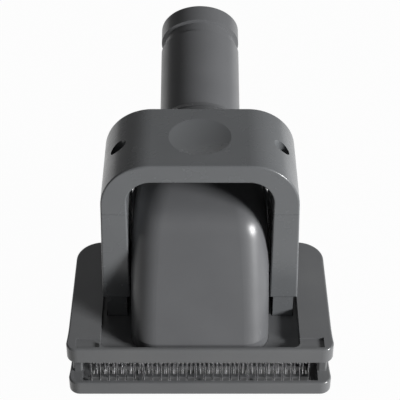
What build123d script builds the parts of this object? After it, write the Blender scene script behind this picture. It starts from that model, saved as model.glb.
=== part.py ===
from build123d import *
import os
from math import hypot, radians, tan

# Vacuum pet grooming brush, in millimetres.
# X is to the right, Y runs back towards the hose and Z is up. The origin is the
# middle of the comb plate's underside, the face that lies on the coat.
# Pressing the arch pushes its legs, the bristle carrier and the pins down, so
# that the pins come out through the comb plate. Two springs push it back up.

# Brush head
HEAD_WIDTH = 104.2        # between the straight sides
HEAD_DEPTH = 66.0
HEAD_FLARE = 0.9          # swing of each side at the front
FLARE_LENGTH = 14.0
FRONT_CORNER = 4.5
REAR_CORNER = 11.0
COMB_THICK = 6.3
COMB_FLOOR = 2.2          # floor of the tray inside the comb plate
COMB_RIM = 1.8            # front and rear rim of the tray
HEAD_GAP = 11.2           # between comb plate and base plate
PLATE_THICK = 7.3
RIM_ROUND = 0.8
WELL_DEPTH = 4.4          # sunk floor that the duct and the legs stand in
WELL_FRONT_WALL = 1.6
WELL_REAR_WALL = 3.0
WELL_CORNER = 3.0
DIP_LENGTH = 5.6          # shallow dips behind the front rim
DIP_DEPTH = 1.0
DIP_SIDE_MARGIN = 3.4
CHEEK_THICK = 3.8         # end walls of the comb plate
CHEEK_LENGTH = 52.0
CHEEK_INSET = 1.2

# Air duct
HOOD_WIDTH = 54.3
HOOD_LENGTH = 50.0
HOOD_SETBACK = 3.0        # from the front edge of the head
HOOD_LEAN = 25.0          # degrees from upright
HOOD_FACE_HEIGHT = 40.2   # height of the straight front face
HOOD_CORNER = 10.0
DUCT_WALL = 2.2
FACE_SHARE = 0.5          # share of the way along the duct where the straight face ends
ROOF_BULGE = 0.2          # how far the roof keeps each end's direction, in parts of its reach
ROOF_RUN = 0.6
BELLY_LEAN = (0.2, 1.0)
BELLY_BULGE = 0.4         # the same for the underside, in parts of its rise
BELLY_RUN = 0.5
BELLY_PACE = 1.4          # powers that set how early the mouth turns into a circle
WIDTH_PACE = 5.0
CORNER_PACE = 2.0
DUCT_SECTIONS = 13
NEARLY_ROUND = 0.02       # straight length left in the last section
SKIRT_FIT = 0.15
FLANGE_WIDTH = 44.0
FLANGE_LENGTH = 9.0
FLANGE_THICK = 3.0
BOSS_DIAMETER = 6.4
BOSS_HEIGHT = 6.4
SPIGOT_DIAMETER = 33.4
SPIGOT_LENGTH = 53.5
SPIGOT_ANGLE = 20.0       # degrees above the head
SPIGOT_WALL = 2.4
SPIGOT_ROOT_BACK = 84.6   # root of the spigot's axis, behind the head's front edge
SPIGOT_ROOT_HEIGHT = 45.5  # and above the base plate
CONE_DIAMETER = 34.4
CONE_LENGTH = 2.0
ROOT_STEP = 0.25          # small step where the spigot's root meets the neck
COLLAR_LENGTH = 8.0
GROOVE_WIDTH = 5.7
GROOVE_DEPTH = 1.2
LIP_ROUND = 0.9

# Press arch
ARCH_DEPTH = 38.4
ARCH_SETBACK = 23.5       # front face, behind the head's front edge
ARCH_HEIGHT = 71.5        # top, above the base plate
ARCH_WALL = 7.9           # thickness of the bridge
ARCH_CLEARANCE = 0.7      # between the hood and each leg
LEG_WIDTH = 11.1          # at the lower end
ARCH_TAPER = 1.4          # degrees that the outer faces lean in
ARCH_SHOULDER = 19.0
ARCH_ARMPIT = 9.5
ARCH_ROUND = 0.7
SEAM_HEIGHT = 48.6        # cap and legs part here, above the base plate
SEAM_BEVEL = 0.25
LEG_LIFT = 6.3            # lower end of the legs above the base plate
STEM_THICK = 8.0
STEM_LENGTH = 23.0
STEM_SETBACK = 1.2        # behind the leg's front face
DISH_DIAMETER = 24.0
DISH_DEPTH = 1.3
RUN_GAP = 0.3             # between the carrier and the base plate at rest
SLIDE_FIT = 0.4

# Pins, carrier and springs
CARRIER_THICK = 2.5
CARRIER_DEPTH = 56.0
CARRIER_FIT = 0.6
CARRIER_CORNER = 3.0
PIN_PITCH = 3.5
ROW_PITCH = 5.8
ROW_COUNT = 10
PIN_MARGIN = 2.0          # least distance from a pin's axis to the carrier's end
PIN_DIAMETER = 0.8
PIN_TIP_INSET = 1.5       # tips above the comb face at rest
PIN_KNEE = 8.0            # length of the straight upper part, below the carrier
PIN_LEAN = 2.6            # how far the lower part leans towards the front
PIN_SIDES = 5
SLOT_PLAY = 0.4           # room in front of and behind a pin in its slot
SLOT_RIB = 1.3
SLOTS_PER_ROW = 4
VENT_WIDTH = 2.4
VENT_SPAN = 50.0
SPRING_DIAMETER = 5.0
SPRING_WIRE = 0.7
WIRE_SIDES = 4
SPRING_TURNS = 6
SPRING_POCKET = 12.0      # depth of the leg's spring bore
SPRING_PLAY = 1.0         # bore over spring diameter
PEG_DIAMETER = 2.8
PEG_HEIGHT = 4.0
SPRING_INSET = 4.9        # spring axis in front of the leg's rear face

# Screws: head diameter, head height, shank diameter
CAP_SCREW = (5.2, 2.2, 3.0)
DUCT_SCREW = (4.8, 1.7, 2.5)
COMB_SCREW = (3.4, 1.6, 2.0)
CARRIER_SCREW = (4.0, 1.4, 2.2)
SCREW_PLAY = 0.1          # room around a shank or head, on the radius
CAP_BORE_DIAMETER = 6.0
CAP_SEAT = 8.0            # head seat above the seam
CAP_SCREW_INSET = 3.5     # screw axis outside the leg's inner face
CAP_SCREW_REACH = 11.0    # below the seam
DUCT_SCREW_SPREAD = 15.0
COMB_SCREW_SPREAD = 18.0
COMB_SCREW_BITE = 3.6
CARRIER_SCREW_SPREAD = 6.5
CARRIER_SCREW_BITE = 8.0
DRIVE_SLOT = 0.8

# Levels and places worked out from the sizes above
COMB_TOP = COMB_THICK
PLATE_BOTTOM = COMB_TOP + HEAD_GAP
PLATE_TOP = PLATE_BOTTOM + PLATE_THICK
WELL_FLOOR = PLATE_TOP - WELL_DEPTH
FRONT = -HEAD_DEPTH / 2
REAR = HEAD_DEPTH / 2
HOOD_FRONT = FRONT + HOOD_SETBACK
HOOD_REAR = HOOD_FRONT + HOOD_LENGTH
ARCH_FRONT = FRONT + ARCH_SETBACK
ARCH_REAR = ARCH_FRONT + ARCH_DEPTH
ARCH_MIDDLE = (ARCH_FRONT + ARCH_REAR) / 2
ARCH_TOP = PLATE_TOP + ARCH_HEIGHT
ARCH_UNDER = ARCH_TOP - ARCH_WALL
SEAM = PLATE_TOP + SEAM_HEIGHT
LEG_BOTTOM = PLATE_TOP + LEG_LIFT
CARRIER_TOP = PLATE_BOTTOM - RUN_GAP
CARRIER_BOTTOM = CARRIER_TOP - CARRIER_THICK
STEM_FRONT = ARCH_FRONT + STEM_SETBACK
STEM_MIDDLE = STEM_FRONT + STEM_LENGTH / 2
ARCH_SPAN = HOOD_WIDTH + 2 * ARCH_CLEARANCE  # between the legs
ARCH_FOOT_WIDTH = ARCH_SPAN + 2 * LEG_WIDTH  # over the legs, at their lower ends
LEG_X = (ARCH_SPAN + ARCH_FOOT_WIDTH) / 4
CAP_SCREW_X = ARCH_SPAN / 2 + CAP_SCREW_INSET
SPRING_Y = ARCH_REAR - SPRING_INSET
FLANGE_Y = HOOD_REAR + FLANGE_LENGTH / 2
CHEEK_X = HEAD_WIDTH / 2 - CHEEK_INSET - CHEEK_THICK / 2
CARRIER_HALF_WIDTH = CHEEK_X - CHEEK_THICK / 2 - CARRIER_FIT
LONG_ROW_PINS = 1 + int(2 * (CARRIER_HALF_WIDTH - PIN_MARGIN) / PIN_PITCH)
SIDES = (-1, 1)


def head_outline():
    """Plan of both plates: straight sides that flare out just before the front edge."""
    half = HEAD_WIDTH / 2
    bend = FRONT + FLARE_LENGTH
    edges = [Line((-half, REAR), (half, REAR)), Line((half, REAR), (half, bend))]
    edges.append(TangentArc((half, bend), (half + HEAD_FLARE, FRONT), tangent=(0, -1)))
    edges.append(Line((half + HEAD_FLARE, FRONT), (-half - HEAD_FLARE, FRONT)))
    edges.append(TangentArc((-half, bend), (-half - HEAD_FLARE, FRONT), tangent=(0, -1)))
    edges.append(Line((-half, bend), (-half, REAR)))
    outline = make_face(edges)
    corners = outline.vertices().group_by(Axis.Y)
    outline = fillet(corners[-1], REAR_CORNER)
    return fillet(outline.vertices().group_by(Axis.Y)[0], FRONT_CORNER)


def head_plate(bottom, thick):
    """A plate of the head's plan with rounded rim edges."""
    plate = extrude(Pos(0, 0, bottom) * head_outline(), thick)
    rims = plate.edges().group_by(Axis.Z)
    return fillet(rims[0] + rims[-1], RIM_ROUND)


def block(x, y, z):
    """A box given by its lowest and highest place along each axis."""
    size = [high - low for low, high in (x, y, z)]
    middle = [(low + high) / 2 for low, high in (x, y, z)]
    return Pos(*middle) * Box(*size)


def rod(x, y, bottom, top, diameter):
    """An upright round bar."""
    return Pos(x, y, bottom) * Cylinder(
        diameter / 2, top - bottom, align=(Align.CENTER, Align.CENTER, Align.MIN))


def rounded_slab(x, y, z, corner):
    """A block with rounded upright edges."""
    return fillet(block(x, y, z).edges().filter_by(Axis.Z), corner)


def screw(x, y, seat, reach, sizes, head_up):
    """A pan screw whose head rests on the seat and whose shank ends at reach."""
    head_diameter, head_height, shank_diameter = sizes
    side = 1 if head_up else -1
    head_end = seat + side * head_height
    head = rod(x, y, min(seat, head_end), max(seat, head_end), head_diameter)
    slot_depth = head_height / 2
    slot_floor = head_end - side * slot_depth
    slot = block((x - head_diameter, x + head_diameter), (y - DRIVE_SLOT / 2, y + DRIVE_SLOT / 2),
                 (min(slot_floor, head_end), max(slot_floor, head_end)))
    return head - slot + rod(x, y, min(seat, reach), max(seat, reach), shank_diameter)


def bezier_point(points, t):
    """A point of the cubic curve with four control points, in the YZ plane."""
    weights = ((1 - t) ** 3, 3 * t * (1 - t) ** 2, 3 * t ** 2 * (1 - t), t ** 3)
    return tuple(sum(w * p[axis] for w, p in zip(weights, points)) for axis in (0, 1))


def along(point, direction, distance):
    """A point moved some way along a direction in the YZ plane."""
    return (point[0] + direction[0] * distance, point[1] + direction[1] * distance)


def duct_section(upper, lower, width, corner, wall):
    """A rounded section across the duct, between an upper and a lower point of its outline."""
    height = hypot(upper[0] - lower[0], upper[1] - lower[1])
    up = ((upper[0] - lower[0]) / height, (upper[1] - lower[1]) / height)
    middle = ((upper[0] + lower[0]) / 2, (upper[1] + lower[1]) / 2)
    plane = Plane(origin=(0, *middle), x_dir=(1, 0, 0), z_dir=(0, -up[1], up[0]))
    return plane * RectangleRounded(width - 2 * wall, height - 2 * wall, corner - wall)


def duct_outline(share):
    """Upper and lower point of the duct's side view, from the mouth (0) to the spigot (1)."""
    lean = (tan(radians(HOOD_LEAN)), 1.0)
    axis = Vector(1, 0).rotate(Axis.Z, SPIGOT_ANGLE)
    root = (FRONT + SPIGOT_ROOT_BACK, PLATE_TOP + SPIGOT_ROOT_HEIGHT)
    neck_upper = along(root, (-axis.Y, axis.X), CONE_DIAMETER / 2)
    neck_lower = along(root, (-axis.Y, axis.X), -CONE_DIAMETER / 2)
    mouth_front = (HOOD_FRONT, PLATE_TOP)
    mouth_rear = (HOOD_REAR, PLATE_TOP)
    face_top = along(mouth_front, lean, HOOD_FACE_HEIGHT)
    reach = neck_upper[0] - face_top[0]
    roof = (face_top, along(face_top, lean, ROOF_BULGE * reach),
            along(neck_upper, (axis.X, axis.Y), -ROOF_RUN * reach), neck_upper)
    rise = neck_lower[1] - mouth_rear[1]
    belly = (mouth_rear, along(mouth_rear, BELLY_LEAN, BELLY_BULGE * rise),
             along(neck_lower, (axis.X, axis.Y), -BELLY_RUN * rise), neck_lower)
    if share < FACE_SHARE:
        upper = along(mouth_front, lean, HOOD_FACE_HEIGHT * share / FACE_SHARE)
    else:
        upper = bezier_point(roof, (share - FACE_SHARE) / (1 - FACE_SHARE))
    return upper, bezier_point(belly, share ** BELLY_PACE)


def duct_loft(wall):
    """The hood and neck, from the rectangular mouth to the round root of the spigot."""
    round_corner = CONE_DIAMETER / 2 - NEARLY_ROUND
    sections = []
    for number in range(DUCT_SECTIONS):
        share = number / (DUCT_SECTIONS - 1)
        upper, lower = duct_outline(share)
        width = HOOD_WIDTH + (CONE_DIAMETER - HOOD_WIDTH) * share ** WIDTH_PACE
        corner = HOOD_CORNER + (round_corner - HOOD_CORNER) * share ** CORNER_PACE
        sections.append(duct_section(upper, lower, width, corner, wall))
    return loft(sections)


def duct_mouth(play):
    """Plan of the duct's mouth, grown by some play."""
    mouth = RectangleRounded(HOOD_WIDTH + 2 * play, HOOD_LENGTH + 2 * play, HOOD_CORNER + play)
    return Pos(0, (HOOD_FRONT + HOOD_REAR) / 2) * mouth


def spigot():
    """The round hose end: a root cone, a plain tube, a groove and a collar."""
    outer = SPIGOT_DIAMETER / 2
    bore = outer - SPIGOT_WALL
    groove_end = SPIGOT_LENGTH - COLLAR_LENGTH
    groove_start = groove_end - GROOVE_WIDTH
    half_section = make_face(Polyline(
        (CONE_DIAMETER / 2 + ROOT_STEP, 0), (outer, CONE_LENGTH), (outer, groove_start),
        (outer - GROOVE_DEPTH, groove_start + GROOVE_DEPTH / 2),
        (outer - GROOVE_DEPTH, groove_end - GROOVE_DEPTH / 2), (outer, groove_end),
        (outer, SPIGOT_LENGTH), (bore, SPIGOT_LENGTH), (bore, CONE_LENGTH),
        (CONE_DIAMETER / 2 - DUCT_WALL - ROOT_STEP, 0), close=True))
    half_section = fillet(half_section.vertices().group_by(Axis.Y)[-1], LIP_ROUND)
    tube = revolve(half_section, Axis.Y)
    return Pos(0, FRONT + SPIGOT_ROOT_BACK, PLATE_TOP + SPIGOT_ROOT_HEIGHT) * Rot(SPIGOT_ANGLE, 0, 0) * tube


def air_duct():
    """One hollow moulding from the mouth in the base plate to the hose end."""
    skirt_bottom = PLATE_BOTTOM + RUN_GAP
    skirt = extrude(Pos(0, 0, skirt_bottom) * duct_mouth(0), PLATE_TOP - skirt_bottom)
    flange_y = (HOOD_REAR - HOOD_CORNER, HOOD_REAR + FLANGE_LENGTH)
    flange = block((-FLANGE_WIDTH / 2, FLANGE_WIDTH / 2), flange_y, (WELL_FLOOR, WELL_FLOOR + FLANGE_THICK))
    duct = duct_loft(0) + skirt + flange
    for side in SIDES:
        boss = rod(side * DUCT_SCREW_SPREAD, FLANGE_Y, WELL_FLOOR, WELL_FLOOR + BOSS_HEIGHT, BOSS_DIAMETER)
        duct += boss
    duct -= duct_loft(DUCT_WALL)
    duct -= extrude(Pos(0, 0, skirt_bottom) * duct_mouth(-DUCT_WALL), PLATE_TOP - skirt_bottom)
    for side in SIDES:
        bore = DUCT_SCREW[2] + 2 * SCREW_PLAY
        top = WELL_FLOOR + BOSS_HEIGHT - DUCT_WALL / 2
        duct -= rod(side * DUCT_SCREW_SPREAD, FLANGE_Y, WELL_FLOOR, top, bore)
    return duct + spigot()


def stem_plan(side, play):
    """X and Y ranges of a leg's stem, grown by some play."""
    x = side * LEG_X
    return ((x - STEM_THICK / 2 - play, x + STEM_THICK / 2 + play),
            (STEM_FRONT - play, STEM_FRONT + STEM_LENGTH + play))


def base_plate():
    """The upper plate: a sunk well with the duct's window and the legs' slots."""
    plate = head_plate(PLATE_BOTTOM, PLATE_THICK)
    well_half = ARCH_FOOT_WIDTH / 2 + SLIDE_FIT
    plate -= rounded_slab((-well_half, well_half), (FRONT + WELL_FRONT_WALL, REAR - WELL_REAR_WALL),
                          (WELL_FLOOR, PLATE_TOP), WELL_CORNER)
    plate -= extrude(Pos(0, 0, PLATE_BOTTOM) * duct_mouth(SKIRT_FIT), PLATE_THICK)
    dip_end = HEAD_WIDTH / 2 - DIP_SIDE_MARGIN
    dip_front = FRONT + WELL_FRONT_WALL
    for side in SIDES:
        dip_x = sorted((side * well_half, side * dip_end))
        plate -= block(dip_x, (dip_front, dip_front + DIP_LENGTH), (PLATE_TOP - DIP_DEPTH, PLATE_TOP))
        plate -= block(*stem_plan(side, SLIDE_FIT), (PLATE_BOTTOM, PLATE_TOP))
        plate += rod(side * LEG_X, SPRING_Y, WELL_FLOOR, WELL_FLOOR + PEG_HEIGHT, PEG_DIAMETER)
        head_diameter, head_height, shank = DUCT_SCREW
        x = side * DUCT_SCREW_SPREAD
        plate -= rod(x, FLANGE_Y, PLATE_BOTTOM, WELL_FLOOR, shank + 2 * SCREW_PLAY)
        plate -= rod(x, FLANGE_Y, PLATE_BOTTOM, PLATE_BOTTOM + head_height, head_diameter + 2 * SCREW_PLAY)
        for end in SIDES:
            plate -= rod(side * CHEEK_X, end * COMB_SCREW_SPREAD, PLATE_BOTTOM,
                         PLATE_BOTTOM + COMB_SCREW_BITE + SCREW_PLAY, COMB_SCREW[2] + 2 * SCREW_PLAY)
    return plate


def row_place(row):
    """Y of a pin row, counted from the front."""
    return (row - (ROW_COUNT - 1) / 2) * ROW_PITCH


def row_pins(row):
    """X of each pin in a row. Every second row has one pin less, so the pins are staggered."""
    count = LONG_ROW_PINS - row % 2
    return [(number - (count - 1) / 2) * PIN_PITCH for number in range(count)]


def comb_plate():
    """The lower plate: a tray with slots for the pins to pass, and an end wall on each side."""
    plate = head_plate(0, COMB_THICK)
    tray_half = CHEEK_X - CHEEK_THICK / 2
    plate -= block((-tray_half, tray_half), (FRONT + COMB_RIM, REAR - COMB_RIM), (COMB_FLOOR, COMB_TOP))
    for row in range(ROW_COUNT):
        places = row_pins(row)
        y = row_place(row)
        slot_front = y - PIN_LEAN - PIN_DIAMETER / 2 - SLOT_PLAY
        slot_rear = y + PIN_DIAMETER / 2 + SLOT_PLAY
        for number in range(SLOTS_PER_ROW):
            first = number * len(places) // SLOTS_PER_ROW
            last = (number + 1) * len(places) // SLOTS_PER_ROW - 1
            room = (PIN_PITCH - SLOT_RIB) / 2
            slot_x = (places[first] - room, places[last] + room)
            plate -= block(slot_x, (slot_front, slot_rear), (0, COMB_FLOOR))
    head_diameter, head_height, shank = COMB_SCREW
    for side in SIDES:
        x = side * CHEEK_X
        cheek_x = (x - CHEEK_THICK / 2, x + CHEEK_THICK / 2)
        cheek_y = (-CHEEK_LENGTH / 2, CHEEK_LENGTH / 2)
        plate += rounded_slab(cheek_x, cheek_y, (COMB_TOP, PLATE_BOTTOM), CHEEK_THICK / 4)
        for end in SIDES:
            y = end * COMB_SCREW_SPREAD
            plate -= rod(x, y, 0, PLATE_BOTTOM, shank + 2 * SCREW_PLAY)
            plate -= rod(x, y, 0, head_height + SCREW_PLAY, head_diameter + 2 * SCREW_PLAY)
    return plate


def press_arch():
    """The whole arch before it is parted at the seam."""
    foot = ARCH_FOOT_WIDTH / 2
    top = foot - (ARCH_TOP - LEG_BOTTOM) * tan(radians(ARCH_TAPER))
    outer = make_face(Polyline(
        (-foot, LEG_BOTTOM), (foot, LEG_BOTTOM), (top, ARCH_TOP), (-top, ARCH_TOP), close=True))
    outer = fillet(outer.vertices().group_by(Axis.Y)[-1], ARCH_SHOULDER)
    span = ARCH_SPAN / 2
    inner = make_face(Polyline(
        (-span, LEG_BOTTOM), (span, LEG_BOTTOM), (span, ARCH_UNDER), (-span, ARCH_UNDER), close=True))
    inner = fillet(inner.vertices().group_by(Axis.Y)[-1], ARCH_ARMPIT)
    front_view = Plane(origin=(0, ARCH_FRONT, 0), x_dir=(1, 0, 0), z_dir=(0, -1, 0))
    arch = extrude(front_view * (outer - inner), ARCH_DEPTH, dir=(0, 1, 0))
    faces = arch.edges().group_by(Axis.Y)
    return fillet(faces[0] + faces[-1], ARCH_ROUND)


def press_cap(arch):
    """The bridge of the arch, with the thumb dish and two screw bores."""
    reach = ARCH_FOOT_WIDTH
    cap = arch & block((-reach, reach), (ARCH_FRONT, ARCH_REAR), (SEAM, ARCH_TOP))
    cap = chamfer(cap.edges().group_by(Axis.Z)[0], SEAM_BEVEL)
    dish_radius = (DISH_DIAMETER ** 2 / 4 + DISH_DEPTH ** 2) / (2 * DISH_DEPTH)
    ball = Rot(90, 0, 0) * Sphere(dish_radius)
    cap -= Pos(0, ARCH_MIDDLE, ARCH_TOP - DISH_DEPTH + dish_radius) * ball
    for side in SIDES:
        x = side * CAP_SCREW_X
        cap -= rod(x, ARCH_MIDDLE, SEAM, ARCH_TOP, CAP_SCREW[2] + 2 * SCREW_PLAY)
        cap -= rod(x, ARCH_MIDDLE, SEAM + CAP_SEAT, ARCH_TOP, CAP_BORE_DIAMETER)
    return cap


def leg(arch, side):
    """One leg of the arch, with the stem that passes through the base plate."""
    x = sorted((0, side * ARCH_FOOT_WIDTH))
    post = arch & block(x, (ARCH_FRONT, ARCH_REAR), (LEG_BOTTOM, SEAM))
    post = chamfer(post.edges().group_by(Axis.Z)[-1], SEAM_BEVEL)
    post += block(*stem_plan(side, 0), (CARRIER_TOP, LEG_BOTTOM))
    post -= rod(side * CAP_SCREW_X, ARCH_MIDDLE, SEAM - CAP_SCREW_REACH - SCREW_PLAY, SEAM,
                CAP_SCREW[2] + 2 * SCREW_PLAY)
    post -= rod(side * LEG_X, SPRING_Y, LEG_BOTTOM, LEG_BOTTOM + SPRING_POCKET, SPRING_DIAMETER + SPRING_PLAY)
    for end in SIDES:
        post -= rod(side * LEG_X, STEM_MIDDLE + end * CARRIER_SCREW_SPREAD, CARRIER_TOP,
                    CARRIER_TOP + CARRIER_SCREW_BITE + SCREW_PLAY, CARRIER_SCREW[2] + 2 * SCREW_PLAY)
    return post


def carrier_screw_places():
    """X and Y of the four screws that hold the carrier to the stems."""
    return [(side * LEG_X, STEM_MIDDLE + end * CARRIER_SCREW_SPREAD) for side in SIDES for end in SIDES]


def bristle_carrier():
    """The plate that carries the pins, with vents between the rows for the air."""
    half = CARRIER_HALF_WIDTH
    depth = (-CARRIER_DEPTH / 2, CARRIER_DEPTH / 2)
    plate = rounded_slab((-half, half), depth, (CARRIER_BOTTOM, CARRIER_TOP), CARRIER_CORNER)
    for row in range(ROW_COUNT - 1):
        y = row_place(row) + ROW_PITCH / 2
        plate -= block((-VENT_SPAN / 2, VENT_SPAN / 2), (y - VENT_WIDTH / 2, y + VENT_WIDTH / 2),
                       (CARRIER_BOTTOM, CARRIER_TOP))
    head_diameter, head_height, shank = CARRIER_SCREW
    for x, y in carrier_screw_places():
        plate -= rod(x, y, CARRIER_BOTTOM, CARRIER_TOP, shank + 2 * SCREW_PLAY)
        plate -= rod(x, y, CARRIER_BOTTOM, CARRIER_BOTTOM + head_height, head_diameter + 2 * SCREW_PLAY)
    return plate


def pin_row(row):
    """One row of cranked wire pins, left out where a carrier screw has its head."""
    keep_off = (CARRIER_SCREW[0] + PIN_DIAMETER) / 2 + SCREW_PLAY
    y = row_place(row)
    wire = RegularPolygon(PIN_DIAMETER / 2, PIN_SIDES)
    knee = CARRIER_BOTTOM - PIN_KNEE
    bends = (Pos(0, 0, CARRIER_BOTTOM), Pos(0, 0, knee), Pos(0, -PIN_LEAN, PIN_TIP_INSET))
    pin = loft([bend * wire for bend in bends], ruled=True)
    places = [x for x in row_pins(row)
              if all(hypot(x - sx, y - sy) > keep_off for sx, sy in carrier_screw_places())]
    return [Pos(x, y) * pin for x in places]


def return_spring(side):
    """A coil spring between the well floor and the end of the leg's bore."""
    bottom = WELL_FLOOR + SPRING_WIRE / 2
    height = LEG_BOTTOM + SPRING_POCKET - WELL_FLOOR - SPRING_WIRE
    coil = Helix(height / SPRING_TURNS, height, (SPRING_DIAMETER - SPRING_WIRE) / 2)
    wire = Plane(origin=coil @ 0, z_dir=coil % 0) * RegularPolygon(SPRING_WIRE / 2, WIRE_SIDES)
    return Pos(side * LEG_X, SPRING_Y, bottom) * sweep(wire, path=coil)


def screw_sets():
    """Each set of like screws, as a list of separate solids."""
    cap = [screw(side * CAP_SCREW_X, ARCH_MIDDLE, SEAM + CAP_SEAT, SEAM - CAP_SCREW_REACH, CAP_SCREW, True)
           for side in SIDES]
    duct_end = WELL_FLOOR + BOSS_HEIGHT - DUCT_WALL
    duct_seat = PLATE_BOTTOM + DUCT_SCREW[1]
    duct = [screw(side * DUCT_SCREW_SPREAD, FLANGE_Y, duct_seat, duct_end, DUCT_SCREW, False) for side in SIDES]
    comb = [screw(side * CHEEK_X, end * COMB_SCREW_SPREAD, COMB_SCREW[1] + SCREW_PLAY,
                  PLATE_BOTTOM + COMB_SCREW_BITE, COMB_SCREW, False) for side in SIDES for end in SIDES]
    carrier = [screw(x, y, CARRIER_BOTTOM + CARRIER_SCREW[1], CARRIER_TOP + CARRIER_SCREW_BITE,
                     CARRIER_SCREW, False) for x, y in carrier_screw_places()]
    return {"cap_screws": cap, "duct_screws": duct, "comb_screws": comb, "carrier_screws": carrier}


def all_parts():
    """Every piece of the brush by its name."""
    arch = press_arch()
    parts = {"air_duct": air_duct(), "base_plate": base_plate(), "comb_plate": comb_plate(),
             "press_cap": press_cap(arch), "left_leg": leg(arch, -1), "right_leg": leg(arch, 1),
             "bristle_carrier": bristle_carrier(),
             "left_spring": return_spring(-1), "right_spring": return_spring(1)}
    for row in range(ROW_COUNT):
        parts[f"pin_row_{row + 1:02d}"] = pin_row(row)
    parts.update(screw_sets())
    return parts


os.makedirs("parts", exist_ok=True)
for name, piece in all_parts().items():
    solid = Compound(piece) if isinstance(piece, list) else piece
    export_step(solid, f"parts/{name}.step")
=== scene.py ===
# %% [markdown]
# # A vacuum pet grooming brush
# The real brush is a hollow hood with a hose end, a press arch that bridges the hood, and a head of
# two plates with a bed of wire pins between them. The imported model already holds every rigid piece
# at its real size, with smooth normals, so those meshes stay as they are. This lesson adds round
# pins and springs, two guide rails, the finishes, the light and the camera.

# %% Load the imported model
import math
import bmesh
import bpy
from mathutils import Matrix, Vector


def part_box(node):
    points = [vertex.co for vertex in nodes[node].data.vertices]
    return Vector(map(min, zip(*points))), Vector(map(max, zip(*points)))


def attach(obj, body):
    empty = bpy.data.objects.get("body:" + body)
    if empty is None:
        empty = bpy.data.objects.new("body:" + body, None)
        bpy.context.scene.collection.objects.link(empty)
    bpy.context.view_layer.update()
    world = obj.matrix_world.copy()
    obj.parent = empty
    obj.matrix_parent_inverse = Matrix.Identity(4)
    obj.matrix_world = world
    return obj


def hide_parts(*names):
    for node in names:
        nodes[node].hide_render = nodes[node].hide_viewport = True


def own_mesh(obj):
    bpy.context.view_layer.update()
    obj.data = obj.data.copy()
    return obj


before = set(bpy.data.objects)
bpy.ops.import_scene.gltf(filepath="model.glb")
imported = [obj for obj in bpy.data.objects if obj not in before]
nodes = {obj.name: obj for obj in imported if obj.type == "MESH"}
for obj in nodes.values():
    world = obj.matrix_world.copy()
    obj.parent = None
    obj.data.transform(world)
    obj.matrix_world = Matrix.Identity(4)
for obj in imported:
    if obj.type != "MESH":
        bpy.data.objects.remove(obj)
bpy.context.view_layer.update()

MM = 0.001

# %% [markdown]
# ## Small helpers
# Colours are written as sRGB hex values, the way a colour picker shows them. Shaders work in linear
# light, so one function turns the hex value round. Another adds a node to a tree with its settings,
# and fills each socket with a plain value or with a link from another node.

# %% Helpers for colours and nodes
def linear(hex_code):
    """The linear colour of an sRGB hex value."""
    channels = [int(hex_code[i:i + 2], 16) / 255 for i in (1, 3, 5)]
    return tuple(c / 12.92 if c <= 0.04045 else ((c + 0.055) / 1.055) ** 2.4 for c in channels) + (1.0,)


def put(tree, kind, sockets=None, **settings):
    """Adds a node, sets its settings and fills its sockets with values or links."""
    node = tree.nodes.new(kind)
    for name, value in settings.items():
        setattr(node, name, value)
    for name, value in (sockets or {}).items():
        if isinstance(value, bpy.types.NodeSocket):
            tree.links.new(value, node.inputs[name])
        else:
            node.inputs[name].default_value = value
    return node


def math_node(tree, operation, first, second=0.0):
    """The result of one sum on values or links."""
    return put(tree, "ShaderNodeMath", {0: first, 1: second}, operation=operation).outputs[0]


def new_material(name):
    """An empty material and its node tree."""
    material = bpy.data.materials.new(name)
    material.use_nodes = True
    material.node_tree.nodes.clear()
    return material, material.node_tree


# %% [markdown]
# ## Noise for the finishes
# No real surface is one flat value. Each finish below lets a noise run between two tones and between
# two roughness values. Most of a noise lies between 0.3 and 0.7, so that part is stretched.

# %% Helpers for noise
NOISE_LOW = 0.3
NOISE_HIGH = 0.7


def noise(tree, place, size_mm, octaves):
    """A noise whose features have about this size."""
    sockets = {"Vector": place, "Scale": 1 / (size_mm * MM), "Detail": octaves}
    return put(tree, "ShaderNodeTexNoise", sockets).outputs["Fac"]


def two_tones(tree, level, dark, light):
    """A colour that runs between two tones with a noise."""
    ramp = put(tree, "ShaderNodeValToRGB", {"Fac": level})
    first, last = ramp.color_ramp.elements
    first.position = NOISE_LOW
    first.color = linear(dark)
    last.position = NOISE_HIGH
    last.color = linear(light)
    return ramp.outputs["Color"]


def two_values(tree, level, low, high):
    """A value that runs between two others with a noise."""
    sockets = {"Value": level, "From Min": NOISE_LOW, "From Max": NOISE_HIGH, "To Min": low, "To Max": high}
    return put(tree, "ShaderNodeMapRange", sockets).outputs["Result"]


# %% [markdown]
# ## Moulded ABS
# The hood, arch and plates are ABS, injection moulded in a polished and lightly textured tool. To the
# eye that is a mid grey with a soft sheen: highlights are broad but have a clear edge, the gloss
# drifts a little over centimetres, and close up there is a fine grain. A flat colour would look like
# paint on screen, so the colour, the roughness and the bump each follow their own noise. The grain
# of a real tool is about 0.1 mm; it is drawn at 0.45 mm so that it shows in a render of this size.

# %% Grey ABS
FLOW = (22.0, 3.0)   # size in mm and octaves
SHEEN = (9.0, 4.0)
GRAIN = (0.45, 2.0)
GRAIN_HEIGHT_MM = 0.012
GRAIN_STRENGTH = 0.35
ABS_IOR = 1.53


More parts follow.
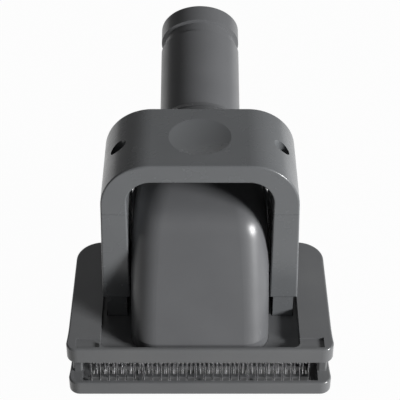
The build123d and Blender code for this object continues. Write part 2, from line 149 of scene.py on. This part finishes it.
def moulded_abs(name, dark, light, rough_low, rough_high):
    """Satin ABS whose tone drifts between two greys and whose gloss drifts between two values."""
    material, tree = new_material(name)
    place = put(tree, "ShaderNodeTexCoord").outputs["Object"]
    tone = two_tones(tree, noise(tree, place, *FLOW), dark, light)
    rough = two_values(tree, noise(tree, place, *SHEEN), rough_low, rough_high)
    bump = put(tree, "ShaderNodeBump", {
        "Height": noise(tree, place, *GRAIN), "Strength": GRAIN_STRENGTH, "Distance": GRAIN_HEIGHT_MM * MM})
    shader = put(tree, "ShaderNodeBsdfPrincipled", {
        "Base Color": tone, "Roughness": rough, "Normal": bump.outputs["Normal"], "IOR": ABS_IOR})
    put(tree, "ShaderNodeOutputMaterial", {"Surface": shader.outputs["BSDF"]})
    return material


duct_abs = moulded_abs("ABS_moulded_duct", "#5e5f61", "#636466", 0.31, 0.36)
head_abs = moulded_abs("ABS_moulded_head", "#626365", "#676869", 0.18, 0.26)
press_abs = moulded_abs("ABS_moulded_press", "#636567", "#686a6c", 0.22, 0.30)
carrier_abs = moulded_abs("ABS_moulded_carrier", "#1d1d1e", "#232324", 0.50, 0.60)
print("plastics", [m.name for m in (duct_abs, head_abs, press_abs, carrier_abs)])

# %% [markdown]
# ## Drawn steel wire
# The pins and springs are drawn wire, which the eye reads as a bright metal with a slightly uneven
# gloss. The screws are plated dark. A metal keeps the default IOR, because its reflection comes from
# its colour. The fine unevenness is drawn at 0.2 mm so that it shows.

# %% Steel
WIRE_MARKS = (0.2, 2.0)   # size in mm and octaves


def drawn_steel(name, dark, light, rough_low, rough_high):
    """Bare metal whose tone and gloss follow one fine noise."""
    material, tree = new_material(name)
    place = put(tree, "ShaderNodeTexCoord").outputs["Object"]
    marks = noise(tree, place, *WIRE_MARKS)
    shader = put(tree, "ShaderNodeBsdfPrincipled", {
        "Base Color": two_tones(tree, marks, dark, light),
        "Roughness": two_values(tree, marks, rough_low, rough_high), "Metallic": 1.0})
    put(tree, "ShaderNodeOutputMaterial", {"Surface": shader.outputs["BSDF"]})
    return material


pin_steel = drawn_steel("steel_wire_bright", "#d8d8da", "#f0f0f2", 0.14, 0.24)
spring_steel = drawn_steel("steel_wire_spring", "#8c8d90", "#a8a9ac", 0.28, 0.40)
screw_steel = drawn_steel("steel_screw_blackened", "#2e2f31", "#404144", 0.32, 0.46)
print("metals", [m.name for m in (pin_steel, spring_steel, screw_steel)])

# %% Give each CAD piece its finish
FINISHES = {
    "air_duct": duct_abs, "base_plate": head_abs, "comb_plate": head_abs, "press_cap": press_abs,
    "left_leg": press_abs, "right_leg": press_abs, "bristle_carrier": carrier_abs, "cap_screws": screw_steel,
    "duct_screws": screw_steel, "comb_screws": screw_steel, "carrier_screws": screw_steel}
for name, material in FINISHES.items():
    for slot in nodes[name].material_slots:
        slot.material = material
print("finished", len(FINISHES), "CAD pieces")

# %% [markdown]
# ## The bed of pins
# A slicker brush has rows of round wire pins, each cranked part way down so that its tip leans. They
# could be modelled one by one, but they are all alike, so Geometry Nodes make one pin and set it on
# a point for each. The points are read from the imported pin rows, so a pin always stands where the
# model has it. A Bezier segment gives the crank its soft bend.

# %% Where the pins stand
PIN_SPACING_MM = 1.5
LEVEL_TOLERANCE_MM = 0.01
pin_rows = sorted(name for name in nodes if name.startswith("pin_row_"))


def pin_tops(row):
    """The middle of each pin's upper end in one row."""
    corners = [vertex.co for vertex in nodes[row].data.vertices]
    level = max(corner.z for corner in corners) - LEVEL_TOLERANCE_MM * MM
    ends = sorted((corner for corner in corners if corner.z > level), key=lambda corner: corner.x)
    groups = [[ends[0]]]
    for corner in ends[1:]:
        if corner.x - groups[-1][-1].x > PIN_SPACING_MM * MM:
            groups.append([])
        groups[-1].append(corner)
    centres = []
    for group in groups:
        spots = {tuple(round(value / MM, 3) for value in corner) for corner in group}
        centres.append(Vector([sum(axis) / len(spots) * MM for axis in zip(*spots)]))
    return centres


pin_points = [point for row in pin_rows for point in pin_tops(row)]
print("pins", len(pin_points))

# %% Measure one pin
PIN_DIAMETER_MM = 0.8
low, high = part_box(pin_rows[0])
pin_levels = sorted({round(vertex.co.z, 6) for vertex in nodes[pin_rows[0]].data.vertices})
pin_drop = high.z - low.z
pin_knee = high.z - pin_levels[1]
pin_lean = (high.y - low.y) - PIN_DIAMETER_MM * MM
print("pin drop, knee and lean in mm", [round(v / MM, 2) for v in (pin_drop, pin_knee, pin_lean)])

# %% [markdown]
# ## Wire on points
# Pins and springs are both a line that is given a round wire and set on points, so the start and the
# end of their node trees are shared. The end makes the instances real and sets the material, because
# the export keeps only plain meshes.

# %% Shared ends of the wire trees
def wire_tree(name, sizes):
    """A new node tree with points, named sizes and a finish as inputs, and those inputs."""
    tree = bpy.data.node_groups.new(name, "GeometryNodeTree")
    tree.interface.new_socket("Geometry", in_out="INPUT", socket_type="NodeSocketGeometry")
    for size in sizes:
        tree.interface.new_socket(size, in_out="INPUT", socket_type="NodeSocketFloat")
    tree.interface.new_socket("Finish", in_out="INPUT", socket_type="NodeSocketMaterial")
    tree.interface.new_socket("Geometry", in_out="OUTPUT", socket_type="NodeSocketGeometry")
    return tree, put(tree, "NodeGroupInput").outputs


def set_wire(tree, given, line, facets):
    """Gives the line a round wire, sets it on every point and ends the tree."""
    ring = put(tree, "GeometryNodeCurvePrimitiveCircle", {
        "Resolution": facets, "Radius": given["Wire Radius"]})
    wire = put(tree, "GeometryNodeCurveToMesh", {
        "Curve": line, "Profile Curve": ring.outputs["Curve"], "Fill Caps": True})
    smooth = put(tree, "GeometryNodeSetShadeSmooth", {"Geometry": wire.outputs["Mesh"], "Shade Smooth": True})
    placed = put(tree, "GeometryNodeInstanceOnPoints", {
        "Points": given["Geometry"], "Instance": smooth.outputs["Geometry"]})
    real = put(tree, "GeometryNodeRealizeInstances", {"Geometry": placed.outputs["Instances"]})
    finish = put(tree, "GeometryNodeSetMaterial", {
        "Geometry": real.outputs["Geometry"], "Material": given["Finish"]})
    put(tree, "NodeGroupOutput", {"Geometry": finish.outputs["Geometry"]})


def grown(name, points, tree, values):
    """A plain mesh object made by a node tree on a set of points."""
    seed_mesh = bpy.data.meshes.new(name + "_points")
    seed_mesh.from_pydata(points, [], [])
    piece = bpy.data.objects.new(name, seed_mesh)
    bpy.context.scene.collection.objects.link(piece)
    modifier = piece.modifiers.new("grow", "NODES")
    modifier.node_group = tree
    for item in tree.interface.items_tree:
        if item.in_out == "INPUT" and item.name in values:
            modifier[item.identifier] = values[item.name]
    bpy.context.view_layer.update()
    evaluated = piece.evaluated_get(bpy.context.evaluated_depsgraph_get())
    mesh = bpy.data.meshes.new_from_object(evaluated)
    piece.modifiers.remove(modifier)
    piece.data = mesh
    mesh.name = name
    return piece


# %% One pin, set on every point
PIN_SEGMENTS = 7
PIN_FACETS = 6
TIP_START = 0.85
TIP_TAPER = 0.5


def pin_tree():
    """Sets a cranked wire pin on every point of the mesh that it is given."""
    tree, given = wire_tree("pin_bed", ("Wire Radius", "Knee", "Drop", "Lean"))
    knee_down = math_node(tree, "MULTIPLY", given["Knee"], -1.0)
    tip_down = math_node(tree, "MULTIPLY", given["Drop"], -1.0)
    tip_out = math_node(tree, "MULTIPLY", given["Lean"], -1.0)
    knee = put(tree, "ShaderNodeCombineXYZ", {"Z": knee_down}).outputs["Vector"]
    tip = put(tree, "ShaderNodeCombineXYZ", {"Y": tip_out, "Z": tip_down}).outputs["Vector"]
    path = put(tree, "GeometryNodeCurvePrimitiveBezierSegment", {
        "Resolution": PIN_SEGMENTS, "Start": (0.0, 0.0, 0.0), "Start Handle": knee, "End Handle": knee,
        "End": tip})
    along = put(tree, "GeometryNodeSplineParameter").outputs["Factor"]
    taper = put(tree, "ShaderNodeMapRange", {
        "Value": along, "From Min": TIP_START, "To Min": 1.0, "To Max": TIP_TAPER})
    drawn = put(tree, "GeometryNodeSetCurveRadius", {
        "Curve": path.outputs["Curve"], "Radius": taper.outputs["Result"]})
    set_wire(tree, given, drawn.outputs["Curve"], PIN_FACETS)
    return tree


pin_bed = grown("pin_bed", pin_points, pin_tree(), {
    "Wire Radius": PIN_DIAMETER_MM / 2 * MM, "Knee": pin_knee, "Drop": pin_drop, "Lean": pin_lean,
    "Finish": pin_steel})
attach(pin_bed, "press")
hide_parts(*pin_rows)
print("pin bed faces", len(pin_bed.data.polygons))

# %% [markdown]
# ## The return springs
# Behind each leg's stem a small coil spring stands on a peg in the well and pushes the arch up. A coil
# follows a rule, so the Spiral node draws its line and Curve to Mesh gives it a round wire. The real
# spring gets shorter as the arch goes down; here each coil has one height and evenly spaced turns.

# %% Coil springs
SPRING_WIRE_MM = 0.7
SPRING_TURNS = 6
SPRING_STEPS = 20
WIRE_FACETS = 8


def spring_tree():
    """A coil of round wire that stands on every point of the mesh that it is given."""
    tree, given = wire_tree("coil_spring", ("Wire Radius", "Coil Radius", "Height"))
    coil = put(tree, "GeometryNodeCurveSpiral", {
        "Resolution": SPRING_STEPS, "Rotations": float(SPRING_TURNS), "Start Radius": given["Coil Radius"],
        "End Radius": given["Coil Radius"], "Height": given["Height"]})
    set_wire(tree, given, coil.outputs["Curve"], WIRE_FACETS)
    return tree


coil_spring = spring_tree()
wire_radius = SPRING_WIRE_MM / 2 * MM
for side in ("left", "right"):
    low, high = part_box(side + "_spring")
    foot = Vector(((low.x + high.x) / 2, (low.y + high.y) / 2, low.z))
    height = high.z - low.z
    seat = foot + Vector((0, 0, wire_radius))
    spring = grown(side + "_coil", [seat], coil_spring, {
        "Wire Radius": wire_radius, "Coil Radius": (high.x - low.x) / 2 - wire_radius,
        "Height": height - 2 * wire_radius, "Finish": spring_steel})
    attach(spring, "head")
    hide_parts(side + "_spring")
    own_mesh(spring)
    print(spring.name, "faces", len(spring.data.polygons))

# %% [markdown]
# ## Guides behind the legs
# Seen from the front, the gaps between the hood and the legs are dark. What closes them is hidden, so
# this is a guess: a slim rail behind each leg that stands on the rear rim, is moulded to the side of
# the duct and keeps the leg from leaning back. A cube with modifiers would do too, but the rail has a
# sloping top, so its outline is drawn once in the XZ plane and swept through its thickness.

# %% Guide rails
GUIDE_THICK_MM = 2.0
GUIDE_WIDTH_MM = 3.6
GUIDE_OVERLAP_MM = 0.4
GUIDE_TOP_MM = 37.0
GUIDE_SLOPE_MM = 9.0
GUIDE_INSET_MM = 0.7
GUIDE_EDGE_MM = 0.35
GUIDE_EDGE_STEPS = 3
plate_low, plate_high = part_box("base_plate")


def guide_rail(name, side, inner_face):
    """A rail behind one leg. Its outer edge is just outside the leg's inner face."""
    outer = inner_face + GUIDE_OVERLAP_MM * MM
    inner = outer - GUIDE_WIDTH_MM * MM
    foot = plate_high.z
    top = foot + GUIDE_TOP_MM * MM
    shoulder = top - GUIDE_SLOPE_MM * MM
    outline = [(inner, foot), (outer, foot), (outer, shoulder), (inner, top)]
    rear = plate_high.y - GUIDE_INSET_MM * MM
    front = rear - GUIDE_THICK_MM * MM
    work = bmesh.new()
    face = work.faces.new([work.verts.new((side * x, front, z)) for x, z in outline])
    swept = bmesh.ops.extrude_face_region(work, geom=[face])["geom"]
    for item in swept:
        if isinstance(item, bmesh.types.BMVert):
            item.co.y = rear
    bmesh.ops.recalc_face_normals(work, faces=work.faces[:])
    bmesh.ops.bevel(work, geom=work.edges[:], offset=GUIDE_EDGE_MM * MM, segments=GUIDE_EDGE_STEPS,
                    profile=0.5, affect="EDGES")
    mesh = bpy.data.meshes.new(name)
    work.to_mesh(mesh)
    work.free()
    mesh.shade_smooth()
    mesh.materials.append(duct_abs)
    rail = bpy.data.objects.new(name, mesh)
    bpy.context.scene.collection.objects.link(rail)
    return rail


leg_inner_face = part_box("right_leg")[0].x
for name, side in (("left_guide", -1), ("right_guide", 1)):
    guide = guide_rail(name, side, leg_inner_face)
    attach(guide, "head")
    print(guide.name, "faces", len(guide.data.polygons))

# %% [markdown]
# ## Floor and background
# The brush stands on a plain white sweep. The background has to be white to the camera without
# pouring more light on the plastic, so the floor and the world ask what kind of ray they are meeting:
# camera, glossy and transmission rays see white, and all other rays see a dim surround. Under the
# head the camera sees plain paper, so the slots of the comb plate stay dark.

# %% What a ray sees
FLOOR_MIRRORED = 0.9
ROOM_MIRRORED = 0.2
UNDER_HEAD_MARGIN_MM = 2.0


def seen_directly(tree, mirrored):
    """1 for camera and transmission rays, the mirrored share for glossy rays, else 0."""
    path = put(tree, "ShaderNodeLightPath").outputs
    gloss = math_node(tree, "MULTIPLY", path["Is Glossy Ray"], mirrored)
    eye = math_node(tree, "MAXIMUM", path["Is Camera Ray"], gloss)
    return math_node(tree, "MAXIMUM", eye, path["Is Transmission Ray"])


def outside_head(tree):
    """0 on the floor under the head and 1 around it."""
    place = put(tree, "ShaderNodeSeparateXYZ", {0: put(tree, "ShaderNodeTexCoord").outputs["Object"]}).outputs
    sides = []
    for axis, edge in (("X", plate_high.x), ("Y", plate_high.y)):
        away = math_node(tree, "ABSOLUTE", place[axis])
        sides.append(math_node(tree, "GREATER_THAN", away, edge - UNDER_HEAD_MARGIN_MM * MM))
    return math_node(tree, "MAXIMUM", *sides)


# %% Floor
FLOOR_SIZE = 3.0
FLOOR_WHITENESS = 0.975


def white_sweep():
    """A pale floor that is nearly white to the eye and still takes a faint shadow."""
    material, tree = new_material("paper_white_sweep")
    paper = put(tree, "ShaderNodeBsdfDiffuse", {"Color": linear("#808080")})
    glow = put(tree, "ShaderNodeEmission", {"Color": linear("#ffffff"), "Strength": 1.0})
    mirror = put(tree, "ShaderNodeLightPath").outputs["Is Glossy Ray"]
    open_floor = math_node(tree, "MAXIMUM", outside_head(tree), mirror)
    white = math_node(tree, "MULTIPLY", open_floor, FLOOR_WHITENESS)
    share = math_node(tree, "MULTIPLY", seen_directly(tree, FLOOR_MIRRORED), white)
    mix = put(tree, "ShaderNodeMixShader", {0: share, 1: paper.outputs[0], 2: glow.outputs[0]})
    put(tree, "ShaderNodeOutputMaterial", {"Surface": mix.outputs[0]})
    return material


half = FLOOR_SIZE / 2
floor_mesh = bpy.data.meshes.new("floor")
floor_corners = [(-half, -half, 0), (half, -half, 0), (half, half, 0), (-half, half, 0)]
floor_mesh.from_pydata(floor_corners, [], [(0, 1, 2, 3)])
floor_mesh.materials.append(white_sweep())
floor = bpy.data.objects.new("floor", floor_mesh)
bpy.context.scene.collection.objects.link(floor)

# %% World
AMBIENT = 0.05
world = bpy.data.worlds.new("studio")
world.use_nodes = True
bpy.context.scene.world = world
sky = world.node_tree
sky.nodes.clear()
level = put(sky, "ShaderNodeMapRange", {
    "Value": seen_directly(sky, ROOM_MIRRORED), "To Min": AMBIENT, "To Max": 1.0})
surround = put(sky, "ShaderNodeBackground", {"Color": linear("#ffffff"), "Strength": level.outputs["Result"]})
put(sky, "ShaderNodeOutputWorld", {"Surface": surround.outputs[0]})

# %% [markdown]
# ## Light
# In the photograph the light comes from the right and a little above: the right leg and the front rim
# are bright, the tops are darker, and the foot of the left leg lies in the hood's shadow. One soft lamp
# does that. A weak second lamp near the camera keeps the shadows from going black. A low one behind
# the brush lights its back. It is hidden from glossy rays, so it leaves no glare on the arch.

# %% Lamps
TARGET = Vector((0.0, 0.01, 0.05))


def lamp(name, azimuth, elevation, distance, size, power):
    """A square area lamp aimed at the brush. Azimuth 0 is the camera's side, 90 is the right."""
    a = math.radians(azimuth)
    e = math.radians(elevation)
    direction = Vector((math.sin(a) * math.cos(e), -math.cos(a) * math.cos(e), math.sin(e)))
    data = bpy.data.lights.new(name, "AREA")
    data.size = size
    data.energy = power
    light = bpy.data.objects.new(name, data)
    light.location = TARGET + direction * distance
    light.rotation_euler = direction.to_track_quat("Z", "Y").to_euler()
    bpy.context.scene.collection.objects.link(light)
    return light


lamp("key", 60, 20, 0.9, 0.22, 12.5)
lamp("fill", -8, 40, 1.0, 0.5, 0.15)
lamp("back", 190, 8, 1.0, 0.5, 5.0).visible_glossy = False

# %% [markdown]
# ## Camera
# The photograph looks along the brush from the front, 38 degrees down, through a longish lens. These
# values were found by fitting the plate's edges, the arch and the hose end.

# %% Camera
CAMERA_BEFORE = 0.3625
CAMERA_ABOVE = 0.3574
CAMERA_DOWN = 38.0
PHOTO_SIDE = 400
FOCAL_PIXELS = 1300
SENSOR_MM = 36.0

view = bpy.data.cameras.new("camera")
view.sensor_width = SENSOR_MM
view.lens = FOCAL_PIXELS / PHOTO_SIDE * SENSOR_MM
view.clip_start = 0.01
camera = bpy.data.objects.new("camera", view)
camera.location = (0.0, plate_low.y - CAMERA_BEFORE, plate_high.z + CAMERA_ABOVE)
camera.rotation_euler = (math.radians(90 - CAMERA_DOWN), 0.0, 0.0)
bpy.context.scene.collection.objects.link(camera)
bpy.context.scene.camera = camera
bpy.context.scene.view_settings.view_transform = "Standard"
